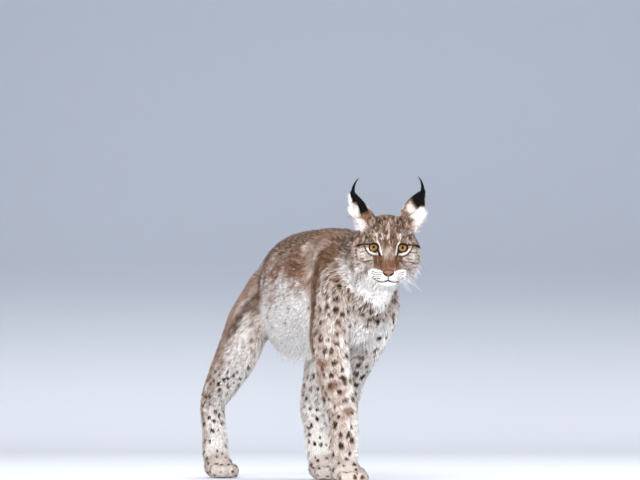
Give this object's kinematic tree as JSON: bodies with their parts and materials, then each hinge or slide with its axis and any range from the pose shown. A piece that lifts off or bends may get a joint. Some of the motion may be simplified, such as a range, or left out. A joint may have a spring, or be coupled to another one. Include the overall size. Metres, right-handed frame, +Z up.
{
  "type": "eurasian lynx",
  "caption": "Life-size still model of a Eurasian lynx in winter coat, walking with its head turned to its right, with a cheek ruff, tufted ears, broad paws and a short tail",
  "frame": {"origin": "the middle of the model's bounding box at floor level, under the belly; the paws stand on z = 0", "axes": "-Y the way the body walks, +Y towards the tail, +X the lynx's left side, +Z up"},
  "size_m": [0.2857, 0.9682, 0.7281],
  "materials": {
    "fur_head": "short grey-brown fur with black streaks, and a long white ruff",
    "fur_body": "dense warm grey-brown winter fur, whitish below",
    "fur_leg": "sandy fur with dark brown and black spots",
    "fur_ear": "short black fur with a grey patch and a long white fringe",
    "fur_black": "black fur",
    "nose_skin": "bare skin, slightly moist",
    "eye": "glossy amber eye with a round dark pupil"
  },
  "bodies": {
    "root": {"head": "fur_head", "neck": "fur_body", "chest": "fur_body", "loin": "fur_body", "rump": "fur_body", "tail": "fur_body", "tail_tip": "fur_black", "ear_left": "fur_ear", "ear_right": "fur_ear", "nose": "nose_skin", "eye_left": "eye", "eye_right": "eye", "foreleg_left": "fur_leg", "foreleg_right": "fur_leg", "forepaw_left": "fur_leg", "forepaw_right": "fur_leg", "thigh_left": "fur_leg", "thigh_right": "fur_leg", "hindleg_left": "fur_leg", "hindleg_right": "fur_leg", "hindpaw_left": "fur_leg", "hindpaw_right": "fur_leg"}
  },
  "joints": []
}
